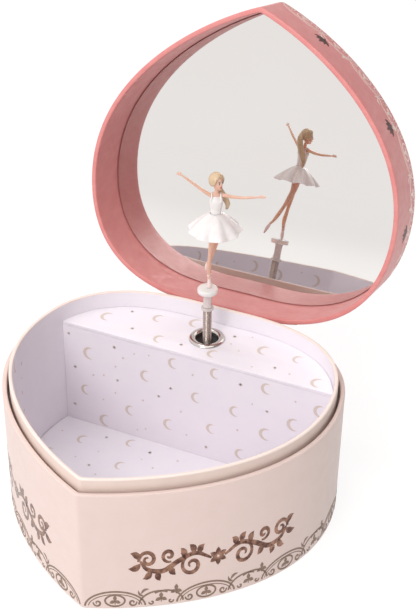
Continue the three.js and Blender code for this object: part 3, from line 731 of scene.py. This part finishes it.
def wall_mapper(inset, place=None, inward=False):
    """Maps a distance along the outline from the tip, and a height, to a point on the wall."""
    loop = heart(inset)
    right = loop[: HALF_POINTS + 1]
    lengths = np.concatenate([[0], np.cumsum(np.linalg.norm(np.diff(right, axis=0), axis=1))])

    def point(s, z, out):
        at = min(abs(s), lengths[-1])
        x, y = (np.interp(at, lengths, right[:, k]) for k in (0, 1))
        x2, y2 = (np.interp(min(at + 0.4, lengths[-1]), lengths, right[:, k]) for k in (0, 1))
        x1, y1 = (np.interp(max(at - 0.4, 0), lengths, right[:, k]) for k in (0, 1))
        normal = Vector((y2 - y1, x1 - x2)).normalized() * (-1 if inward else 1)
        p = Vector(((x + normal.x * out) * (1 if s >= 0 else -1), y + normal.y * out, z))
        return place @ p if place is not None else p

    return point, lengths[-1]


outer, half_length = wall_mapper(0)


BORDER_REPEAT = 42


def border_unit(bm, place, weight):
    """One repeat of the scroll border, 42 long and 9 high, in a surface's own coordinates."""
    ribbon(bm, arc((14, 0), (13.8, 8.2), 176, 4, 30), weight, place)
    ribbon(bm, arc((14, 0), (12.3, 6.8), 172, 8, 30), weight * 0.5, place)
    ribbon(bm, arc((33.5, 0), (8.8, 7.4), 172, 60, 14), weight, place)
    ribbon(bm, arc((36.5, 0), (8.8, 7.4), 120, 8, 14), weight, place)
    ribbon(bm, arc((14, 3.5), (4.5, 2.9), 0, 346, 26), weight, place, closed=True)
    trefoil(bm, (14, 3.4), 2.8, place)
    trefoil(bm, (35, 3.7), 3.0, place)
    trefoil(bm, (42, 7.0), 2.9, place)
    for x, turn in ((6.0, 1), (22.0, -1)):
        ribbon(bm, curl((x, 2.3), 1.9, 90 + 80 * turn, 1.2 * turn), taper(weight * 1.3, 0.5), place)
    for x, turn in ((30.6, 1), (39.4, -1)):
        ribbon(bm, curl((x, 1.8), 1.3, 90 + 80 * turn, 0.9 * turn, 16), taper(weight * 1.2, 0.5), place)
    leaf(bm, (26, 6.6), (29.6, 8.8), 1.3, 0.2, place)
    leaf(bm, (27.4, 5.2), (24.6, 8.6), 1.1, 0.2, place)


def border(bm, map_to_wall, half, foot, up, weight):
    """Repeats of the scroll border on both flanks, from the tip to the cleft."""
    units = round((half - 2) / BORDER_REPEAT)
    for sign in (1, -1):
        for unit in range(units):
            def place(s, z, out):
                along = 1 + (unit + s / BORDER_REPEAT) * (half - 2) / units
                return map_to_wall(sign * along, foot + up * z, out)
            border_unit(bm, place, weight)


foot_border = bmesh.new()
border(foot_border, outer, half_length, 0.9, 1.15, 0.85)
piece("wall_border", foot_border, border_ink, "box")


def flourish(sign):
    """A foil stamp of scrolls and leaves about a small flower, on one front flank of the box."""
    bm = bmesh.new()
    centre_s, centre_z, stretch, rise = 60, 24.5, 1.02, 1.3

    def at(s, z, out):
        return outer(sign * (centre_s + stretch * s), centre_z + rise * z, out)

    for petal in range(6):
        a = math.radians(60 * petal + 30)
        leaf(bm, (0.5 * math.cos(a), 0.5 * math.sin(a)), (4.1 * math.cos(a), 4.1 * math.sin(a)), 2.2, 0, at)
    for side in (1, -1):
        def to(points):
            return [(side * x, z) for x, z in points]

        stem = smooth_path([(3, 0), (10, 3.4), (17, 1.2), (24, -2.6), (30.5, -1.4), (33.5, 2.4)], 8)
        ribbon(bm, to(stem), taper(2.2, 0.4, 0.4), at)
        ribbon(bm, to(curl((30.4, 3.0), 3.8, -10, 1.35, 34)), taper(2.0, 0.6, 0.2), at)
        ribbon(bm, to(curl((11.6, -1.7), 4.9, 100, -1.4, 36)), taper(1.9, 0.4, 0.2), at)
        ribbon(bm, to(curl((21.5, 4.0), 3.0, -110, 1.25, 28)), taper(1.8, 0.4, 0.2), at)
        for root, tip, bend in (
            ((8, 2.8), (6.2, 6.8), -0.2), ((11, 3.5), (12.6, 7.6), 0.2), ((15.4, 2.2), (16.4, 6.6), 0.2),
            ((25.4, -2.8), (25.2, -7), 0.2), ((20.5, -0.9), (18.6, -5), 0.15),
            ((29.4, -1.8), (32.6, -5.6), -0.2),
            ((33.6, 1.4), (38.6, -0.6), -0.2), ((34, 3), (37.6, 6.2), 0.2),
        ):
            leaf(bm, (side * root[0], root[1]), (side * tip[0], tip[1]), 2.8, side * bend, at)
    return bm


piece("foil_stamp_right", flourish(1), foil, "box", ["foil_flourish_right"])
piece("foil_stamp_left", flourish(-1), foil, "box", ["foil_flourish_left"])

lid_outer, lid_half = wall_mapper(0, LID_MATRIX)
lid_band = bmesh.new()
border(lid_band, lid_outer, lid_half, rim + LID_DEPTH - 0.9, -1, 0.7)
piece("lid_border", lid_band, pale_ink, "lid")

MOTIF_FIRST = 29  # distance of the first motif from the tip, along the wall
MOTIF_STEP = 52
MOTIF_HEIGHT = 16.5
motifs = bmesh.new()
for sign in (1, -1):
    for k in range(int(lid_half // 50)):
        def on_lid(s, z, out):
            return lid_outer(sign * (MOTIF_FIRST + MOTIF_STEP * k + s), rim + MOTIF_HEIGHT + z, out)

        for spread in (-54, -27, 0, 27, 54):
            a = math.radians(-90 + spread)
            reach = 6.6 if spread == 0 else 5.6
            tip = (reach * math.cos(a), 2.6 + reach * math.sin(a))
            leaf(motifs, (0, 2.4), tip, 1.9, 0.12 * spread / 54, on_lid)
        leaf(motifs, (0, 1.8), (0, 5.2), 1.6, 0, on_lid)
        ribbon(motifs, [(-2.2, 2.6), (0, 3.1), (2.2, 2.6)], 1.0, on_lid)
piece("lid_motifs", motifs, dark_ink, "lid")


def moon(bm, u, v, size, place):
    bow = arc((u + size * 0.28, v), (size * 0.5, size * 0.5), 70, 290, 15)
    ribbon(bm, bow, lambda t: max(size * 0.26 * math.sin(math.pi * t), 0.04), place)


def star(bm, u, v, size, place):
    for k in range(4):
        a = math.pi / 4 * k + 0.3
        reach = Vector((math.cos(a), math.sin(a))) * size / 2
        ribbon(bm, [Vector((u, v)) - reach, (u, v), Vector((u, v)) + reach],
               lambda t: max(size * 0.34 * math.sin(math.pi * t), 0.03), place)


def dot(bm, u, v, size, place):
    ribbon(bm, arc((u, v), (size / 4, size / 4), 0, 330, 10), size / 2, place, closed=True)


def scatter(bm, u_range, v_range, fits, place):
    """Moons, stars and dots spread evenly with nothing too close."""
    kept = []
    for kind, gap, tries in ((moon, 17, 160), (star, 8, 200), (dot, 5, 300)):
        for _ in range(tries):
            u, v = rng.uniform(*u_range), rng.uniform(*v_range)
            if fits(u, v) and all((u - a) ** 2 + (v - b) ** 2 > ((gap + g) / 2) ** 2 for a, b, g in kept):
                kept.append((u, v, gap))
                size = {moon: 6.2, star: 2.3, dot: 1.1}[kind] * rng.uniform(0.8, 1.1)
                kind(bm, u, v, size, place)


def inside_loop(loop, x, y):
    crossings = 0
    for (x1, y1), (x2, y2) in zip(loop, np.roll(loop, -1, axis=0)):
        if (y1 > y) != (y2 > y) and x < x1 + (y - y1) * (x2 - x1) / (y2 - y1):
            crossings += 1
    return crossings % 2 == 1


rough_inside = heart(NECK_INSIDE + 4)[::6]
sky = bmesh.new()
scatter(sky, (-76, 76), (TIP_Y, PLATFORM_FRONT - 4), lambda x, y: inside_loop(rough_inside, x, y),
        lambda x, y, out: Vector((x, y, FLOOR_TOP + out)))
scatter(sky, (-76, 76), (PLATFORM_FRONT + 4, CLEFT_Y + 6),
        lambda x, y: inside_loop(rough_inside, x, y) and math.hypot(x - POST.x, y - POST.y) > EYELET_R + 3.5,
        lambda x, y, out: Vector((x, y, PLATFORM_TOP + out)))
scatter(sky, (-69, 69), (FLOOR_TOP + 4, PLATFORM_TOP - 6), lambda x, z: True,
        lambda x, z, out: Vector((x, PLATFORM_FRONT - out, z)))
inner, inner_half = wall_mapper(NECK_INSIDE, inward=True)
for sign in (1, -1):
    scatter(sky, (6, inner_half * 0.47), (FLOOR_TOP + 4, NECK_TOP - 5), lambda s, z: True,
            lambda s, z, out: inner(sign * s, z, out))
piece("lining_print", sky, ink, "box")


# ---- Eyelet, post and disc ------------------------------------------------------------------------------

bm = bmesh.new()
lip = arc((EYELET_HOLE_R + 1.75, PLATFORM_TOP + 0.1), (1.7, 1.1), 0, 180, 15)
turned(bm, [(EYELET_HOLE_R + 0.45, PLATFORM_TOP - 1.95), (EYELET_HOLE_R + 0.45, PLATFORM_TOP + 0.1), *lip,
            (EYELET_HOLE_R + 0.05, PLATFORM_TOP - 1.95)], (POST.x, POST.y, 0), 96)
piece("eyelet_ring", bm, nickel, "box", ["eyelet"])

WIRE = 0.4
bm = bmesh.new()
turns = (POST_TOP - COIL_LOW) / (WIRE * 1.02)
coil_r = POST_R - WIRE / 2
count = int(turns * 24)
loops = []
for k in range(count + 1):
    a = 2 * math.pi * turns * k / count
    z = COIL_LOW + (POST_TOP - COIL_LOW - WIRE / 2) * k / count
    out = Vector((math.cos(a), math.sin(a), 0))
    loops.append([
        Vector((POST.x, POST.y, z + WIRE / 2 * math.sin(b))) + out * (coil_r + WIRE / 2 * math.cos(b))
        for b in (2 * math.pi * j / 8 for j in range(8))
    ])
rings(bm, loops)
coil = piece("post_coil", bm, spring_wire, None, ["post_spring"], sharp_deg=80)
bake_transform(coil)
bm = bmesh.new()
cable_low = low("drive_cable").z
levels = [cable_low + (POST_TOP - cable_low) * k / 24 for k in range(25)]
turned(bm, [(0, cable_low), *((CABLE_R, z) for z in levels), (0, POST_TOP)], (POST.x, POST.y, 0), 16)
cable = piece("post_cable", bm, steel, None, ["drive_cable"])
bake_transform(cable)

bm = bmesh.new()
low_z, high_z = POST_TOP + 0.2, POST_TOP + 1.45
collar = rounded([(1.15, low_z), (3, low_z), (3, high_z), (1.15, high_z)], 0.35)
turned(bm, [tuple(p) for p in collar], (POST.x, POST.y, 0))
piece("collar", bm, clear_plastic, "post_head", ["bearing_collar"])
bm = bmesh.new()
turned(bm, [(0, POST_TOP + 0.3), (0.95, POST_TOP + 0.3), (0.95, POST_TOP + 1.7), (2.15, POST_TOP + 1.75),
            (2.2, POST_TOP + 2.4), (1.95, POST_TOP + 3), (1.95, DISC_TOP - 3.6), (2.2, DISC_TOP - 3),
            (2.3, DISC_TOP - 2.6), (0, DISC_TOP - 2.55)], (POST.x, POST.y, 0))
piece("stem", bm, clear_plastic, "dancer", ["turning_stem"])
bm = bmesh.new()
edge = rounded([(0, DISC_TOP - 2.5), (DISC_R, DISC_TOP - 2.5), (DISC_R, DISC_TOP), (0, DISC_TOP)], 0.8, 5)
turned(bm, [(max(p.x, 0), p.y) for p in edge if p.x > 0.9 or p.y < DISC_TOP - 2.4 or p.y > DISC_TOP - 0.05],
       (POST.x, POST.y, 0), 72)
piece("disc", bm, white_plastic, "dancer", ["turning_disc"])


# ---- Dancer; +X is the viewer's right and -Y the way the dancer faces -----------------------------------

CHEST_X = 3.3
HEAD = Vector((3.6, -0.3, 56.9))
HEAD_SIZE = 1.13
HEAD_TURN = Matrix.Rotation(math.radians(42), 3, "Z")


def on_head(x, y, z):
    return HEAD + HEAD_TURN @ (HEAD_SIZE * Vector((x, y, z)))


def hand(bm, wrist, along, up, palm_length=1.7, spread=13):
    """A small open hand. Fingers fan out in the plane of along and up."""
    along, up = Vector(along).normalized(), Vector(up)
    up = (up - along * up.dot(along)).normalized()
    wrist = Vector(wrist)
    palm = wrist + along * palm_length
    limb(bm, [(*wrist, 0.42, 0.36), (*(wrist + along * palm_length * 0.5), 0.62, 0.36), (*palm, 0.6, 0.3)])
    for k, length in zip((-1.5, -0.5, 0.5, 1.5), (1.5, 1.8, 1.75, 1.35)):
        a = math.radians(k * spread)
        reach = along * math.cos(a) + up * math.sin(a)
        root = palm - along * 0.3 + up * k * 0.27
        middle, tip = root + reach * length * 0.6, root + reach * length
        limb(bm, [(*root, 0.2), (*middle, 0.19), (*tip, 0.15)], 8, 3)
    thumb = wrist + along * 0.6 + up * 0.4
    limb(bm, [(*thumb, 0.22), (*(thumb + along * 0.7 + up * 0.8), 0.17)], 8, 3)


bm = bmesh.new()
limb(bm, [(0.75, 0.1, 3.4, 0.66), (0.6, 0.3, 6, 0.72), (0.4, 0.6, 10.5, 1.15), (0.6, 0.3, 14, 1.05),
          (0.8, 0.1, 17, 0.95), (1.2, 0.0, 21, 1.2), (1.7, 0, 26, 1.5), (2.2, 0.1, 32, 1.85),
          (2.8, 0.2, 37, 1.7)], 18)
limb(bm, [(-0.2, 10.7, 7.6, 0.62), (0.7, 9.5, 9.4, 0.75), (1.6, 7.8, 13.0, 1.08), (2.6, 5.9, 17.6, 0.98),
          (3.4, 4.3, 22, 1.3), (4.2, 2.3, 28, 1.65), (4.2, 0.8, 34, 1.9)], 18)
limb(bm, [(CHEST_X, 0.2, 38, 2.0, 1.5), (CHEST_X, 0.2, 42, 2.2, 1.5), (CHEST_X, 0.1, 46, 2.7, 1.75),
          (CHEST_X, 0.1, 48.6, 2.9, 1.65), (CHEST_X, 0.2, 50.2, 2.5, 1.2),
          (CHEST_X + 0.1, 0.2, 51.4, 1.2, 1.0), (CHEST_X + 0.2, 0.1, 53, 0.86, 0.86),
          (HEAD.x, 0.1, 55.4, 0.9, 0.9)], 20)
limb(bm, [(CHEST_X - 1.6, 0.2, 49.6, 0.9), (-0.2, 0.1, 50.4, 0.95), (-2.6, -0.2, 52.2, 0.8),
          (-5.9, -0.4, 54.9, 0.66), (-8.4, -0.7, 57.1, 0.64), (-12.6, -1.4, 60.8, 0.42)])
limb(bm, [(CHEST_X + 1.6, 0.2, 49.6, 0.9), (7.0, 0, 49.9, 0.95), (10.6, 0, 49.2, 0.8),
          (15.1, -0.2, 48.9, 0.66), (18, -0.4, 49.1, 0.64), (23, -0.7, 49.6, 0.42)])
hand(bm, (-12.4, -1.4, 60.6), (-1, -0.15, 0.62), (0.6, 0, 1), 1.4, 15)
hand(bm, (22.8, -0.7, 49.6), (1, -0.1, 0.06), (0, 0.5, 1), 1.5, 6)
for centre, radii in (((0, 0.15, 0.55), (2.3, 2.5, 2.75)), ((0, -0.55, -1), (1.75, 1.95, 2.3)),
                      ((0, -1.75, -2.7), (0.6, 0.5, 0.5))):
    ball(bm, on_head(*centre), [HEAD_SIZE * r for r in radii], turn=HEAD_TURN)
nose = [(*on_head(0, -2.3, 0.5), 0.2), (*on_head(0, -2.62, -0.2), 0.24), (*on_head(0, -2.75, -0.62), 0.32)]
limb(bm, nose, 10, 4)
body = piece(
    "dancer_body", bm, skin, "dancer",
    ["dancer_standing_leg", "dancer_free_leg", "dancer_shoulders", "dancer_head", "dancer_raised_arm",
     "dancer_level_arm"], FIGURE_MATRIX,
)
fused(body, 0.16, 5)

bm = bmesh.new()
for side in (-1, 1):
    ball(bm, on_head(side * 0.98, -2.12, 0.1), (0.6, 0.26, 0.38), 16, HEAD_TURN)
piece("dancer_eyes", bm, eye_white, "dancer", place=FIGURE_MATRIX)
bm = bmesh.new()
for side in (-1, 1):
    ball(bm, on_head(side * 0.98, -2.28, 0.1), (0.33, 0.16, 0.36), 16, HEAD_TURN)
    limb(bm, [(*on_head(side * 0.5, -2.34, 0.22), 0.06), (*on_head(side * 0.98, -2.32, 0.42), 0.08),
              (*on_head(side * 1.5, -2.0, 0.24), 0.06)], 8, 4)
    limb(bm, [(*on_head(side * 0.45, -2.42, 0.78), 0.05), (*on_head(side * 1.0, -2.34, 0.98), 0.07),
              (*on_head(side * 1.6, -1.98, 0.84), 0.04)], 8, 4)
piece("dancer_lashes", bm, lash, "dancer", place=FIGURE_MATRIX)
bm = bmesh.new()
for half_width, edge_z, middle_z, r in ((0.6, -1.5, -1.4, 0.17), (0.45, -1.64, -1.72, 0.2)):
    limb(bm, [(*on_head(-half_width, -2.31, edge_z), 0.05), (*on_head(0, -2.48, middle_z), r),
              (*on_head(half_width, -2.31, edge_z), 0.05)], 8, 6)
piece("dancer_lips", bm, lips, "dancer", place=FIGURE_MATRIX)

# Dress: a fitted bodice with straps, and a skirt with soft pleats
bm = bmesh.new()
SKIRT_X = 2.9
PLEATS = 9
waist_z, hem_z, waist_r, hem_r = 40.6, 32.0, 2.5, 12.4


def skirt_point(t, angle, lift):
    fold = math.cos(PLEATS * angle + 0.5 * math.sin(2 * angle))
    soft = fold * (1 - 0.15 * fold)
    radius = (waist_r + (hem_r - waist_r) * t ** 0.86) * (1 + 0.056 * t ** 0.8 * soft)
    height = waist_z + (hem_z - waist_z) * t ** 1.12 + 0.35 * t * t * soft - lift
    return Vector((SKIRT_X + radius * math.cos(angle), 0.2 + radius * math.sin(angle), height))


AROUND = PLEATS * 24
levels = [k / 26 for k in range(27)]
angles = [2 * math.pi * k / AROUND for k in range(AROUND)]
outside = [[skirt_point(t, a, 0) for a in angles] for t in levels]
lining = [[skirt_point(t * 0.985, a, 0.3) for a in angles] for t in levels[::-1]]
rings(bm, outside + lining, closed=True)
piece("dancer_skirt_cloth", bm, dress, "dancer", ["dancer_skirt"], FIGURE_MATRIX, 60)
bm = bmesh.new()
limb(bm, [(CHEST_X - 0.2, 0.2, 39.4, 2.3, 1.9), (CHEST_X - 0.1, 0.2, 40.8, 2.45, 1.95),
          (CHEST_X, 0.15, 43, 2.6, 2.0), (CHEST_X, 0.0, 45.4, 3.0, 2.25), (CHEST_X, 0.0, 47, 3.15, 2.3),
          (CHEST_X, 0.1, 48, 3.1, 2.0)], 32)
for side in (-1, 1):
    x = CHEST_X + side * 2.15
    limb(bm, [(x + side * 0.2, -1.5, 47.4, 0.5, 0.35), (x, -1.5, 49.2, 0.42, 0.3),
              (x - side * 0.1, -0.5, 50.9, 0.4, 0.3), (x - side * 0.1, 0.9, 50.6, 0.4, 0.3),
              (x, 1.8, 48.6, 0.45, 0.3), (x, 1.7, 47.2, 0.5, 0.3)], 10)
bodice = piece("dancer_bodice_cloth", bm, dress, "dancer", ["dancer_bodice"], FIGURE_MATRIX)
fused(bodice, 0.16, 3)

# Hair: a cap that leaves the face open, and a long tail made of locks
bm = bmesh.new()
cap = ball(bm, (0, 0, 0), (1, 1, 1), 96)
for v in cap:
    d = v.co.normalized()
    around = math.atan2(d.x, d.z - 0.25)
    strand = 0.016 * math.sin(30 * around) + 0.01 * math.sin(53 * around + 1)
    part = -0.07 * math.exp(-(((d.x - 0.22) / 0.07) ** 2)) * max(d.z, 0) * max(0.3 - d.y, 0)
    face_x, face_z = d.x / 0.74, (d.z + 0.22) / (0.84 if d.z > -0.22 else 1.3)
    face = face_x * face_x + face_z * face_z
    open_face = 1 / (1 + math.exp((face - 1) * 14)) if d.y < 0.1 else 0
    nape = 0.5 * max(0, -d.z - 0.72)
    size = (1 + strand + part) * (1 - 0.34 * open_face) * (1 - nape)
    fuller = 1 + 0.12 * max(0, -d.z) * (1 - open_face)
    v.co = on_head(d.x * 3.1 * size * fuller, 0.4 + d.y * 3.3 * size, 0.75 + d.z * 3.2 * size)
tail = [(*on_head(0.2, 3.0, 1.2), 1.0), (2.6, 4.3, 55.4, 1.4), (4.2, 4.7, 51.2, 1.65), (6.9, 4.7, 46.6, 1.5),
        (8.6, 4.4, 43.2, 1.1), (8.2, 4.3, 40.6, 0.45)]
path = smooth_path(tail, 8)
LOCKS = 9
for k in range(LOCKS):
    turn = 2 * math.pi * k / LOCKS
    stations = []
    for i, (x, y, z, r) in enumerate(path[::4]):
        a = turn + i * 0.28
        stations.append((x + 0.55 * r * math.cos(a), y + 0.4 * r * math.sin(a), z, 0.5 * r + 0.06))
    limb(bm, stations, 10, 4)
limb(bm, [(x, y, z, 0.75 * r) for x, y, z, r in tail])
ball(bm, on_head(0.1, 2.7, 1.4), (1.0, 0.9, 1.0), 20)
piece("dancer_hair_locks", bm, hair, "dancer", ["dancer_hair", "dancer_ponytail"], FIGURE_MATRIX, 75)

# Slippers with ankle ribbons
bm = bmesh.new()
limb(bm, [(0.9, 0, 0.35, 0.55), (0.85, 0, 1.2, 0.85), (0.75, 0.1, 2.6, 0.98), (0.72, 0.15, 3.9, 0.84),
          (0.7, 0.2, 4.6, 0.76)], 18)
limb(bm, [(-1.1, 12.8, 2.4, 0.42), (-0.9, 12.3, 3.6, 0.72), (-0.6, 11.6, 5.4, 0.88),
          (-0.2, 10.8, 7.2, 0.72)], 18)
for z, r in ((5.3, 0.86), (6.3, 0.9), (7.4, 0.98)):
    tilt = 0.35 if z != 6.3 else -0.35
    centre = Vector((0.66, 0.32, z))
    limb(bm, [(*(centre + Vector((r * math.cos(a), r * math.sin(a), tilt * math.cos(a)))), 0.13)
              for a in (2 * math.pi * k / 12 for k in range(13))], 8, 3)
piece(
    "dancer_slippers", bm, slipper, "dancer",
    ["dancer_standing_slipper", "dancer_free_slipper"], FIGURE_MATRIX,
)


# ---- Finishes of the CAD nodes that keep their shape ----------------------------------------------------

for node in frame["nodes"].values():
    slot_name = node.data.materials[0].name.split(".")[0] if node.data.materials else ""
    if slot_name in CAD_FINISHES:
        node.data.materials[0] = CAD_FINISHES[slot_name].material
    else:
        print("no finish for", node.name, slot_name)


# ---- Floor, light and camera ----------------------------------------------------------------------------

bm = bmesh.new()
bmesh.ops.create_grid(bm, x_segments=2, y_segments=2, size=6000)
floor_finish = Finish("floor", (124, 123, 122), 0.9, Emission_Color=(1, 1, 1, 1), Emission_Strength=0.82)
floor_finish.mottled((120, 119, 118), 400)
bm.transform(Matrix.Scale(MM, 4))
floor_mesh = bpy.data.meshes.new("floor")
bm.to_mesh(floor_mesh)
bm.free()
floor_mesh.materials.append(floor_finish.material)
floor = bpy.data.objects.new("floor", floor_mesh)
floor.location.z = -0.3 * MM  # clear of the base
bpy.context.scene.collection.objects.link(floor)


def studio_world(bright, dim, towards):
    """White all round, brightest from one side."""
    world = bpy.data.worlds.new("studio")
    world.use_nodes = True
    nodes, links = world.node_tree.nodes, world.node_tree.links
    place = nodes.new("ShaderNodeTexCoord").outputs["Generated"]
    facing = nodes.new("ShaderNodeVectorMath")
    facing.operation = "DOT_PRODUCT"
    facing.inputs[1].default_value = Vector(towards).normalized()
    change = nodes.new("ShaderNodeMapRange")
    change.interpolation_type = "SMOOTHSTEP"
    change.inputs["From Min"].default_value = -0.45
    change.inputs["From Max"].default_value = 0.4
    change.inputs["To Min"].default_value = dim
    change.inputs["To Max"].default_value = bright
    links.new(place, facing.inputs[0])
    links.new(facing.outputs["Value"], change.inputs["Value"])
    links.new(change.outputs["Result"], nodes["Background"].inputs["Strength"])
    nodes["Background"].inputs["Color"].default_value = (1, 0.99, 0.985, 1)
    bpy.context.scene.world = world


studio_world(1.04, 0.3, (-0.9, -0.35, 0.25))


def soft_light(name, place, target, size, power, colour=(1, 1, 1)):
    light = bpy.data.lights.new(name, "AREA")
    light.shape = "DISK"
    light.size = size
    light.energy = power
    light.color = colour
    made = bpy.data.objects.new(name, light)
    made.location = place
    made.rotation_euler = (Vector(target) - Vector(place)).to_track_quat("-Z", "Y").to_euler()
    bpy.context.scene.collection.objects.link(made)


soft_light("key", (-0.1, -1.1, 0.95), (0, 0, 0.06), 0.7, 8)
soft_light("left", (-0.25, 0.35, 1.25), (0, -0.02, 0.03), 0.5, 2.2)
soft_light("inside", (0.35, -0.25, 1.2), (0, 0, 0.03), 0.8, 2.4)

AZIMUTH, ELEVATION, ROLL = (math.radians(a) for a in (23.88, 33.03, 0.85))
DISTANCE = 0.61522
TARGET = Vector((0.00031, 0.05494, 0.0816))
back = Vector((math.sin(AZIMUTH) * math.cos(ELEVATION), -math.cos(AZIMUTH) * math.cos(ELEVATION),
               math.sin(ELEVATION)))
right = (-back).cross(Vector((0, 0, 1))).normalized()
up = right.cross(-back)
rolled_right = right * math.cos(ROLL) + up * math.sin(ROLL)
rolled_up = up * math.cos(ROLL) - right * math.sin(ROLL)
camera_data = bpy.data.cameras.new("camera")
camera_data.sensor_width = 36
camera_data.lens = 75.58
camera = bpy.data.objects.new("camera", camera_data)
camera.matrix_world = Matrix.Translation(TARGET + back * DISTANCE) @ Matrix(
    (rolled_right, rolled_up, back)
).transposed().to_4x4()
bpy.context.scene.collection.objects.link(camera)
bpy.context.scene.camera = camera
bpy.context.scene.view_settings.view_transform = "Standard"
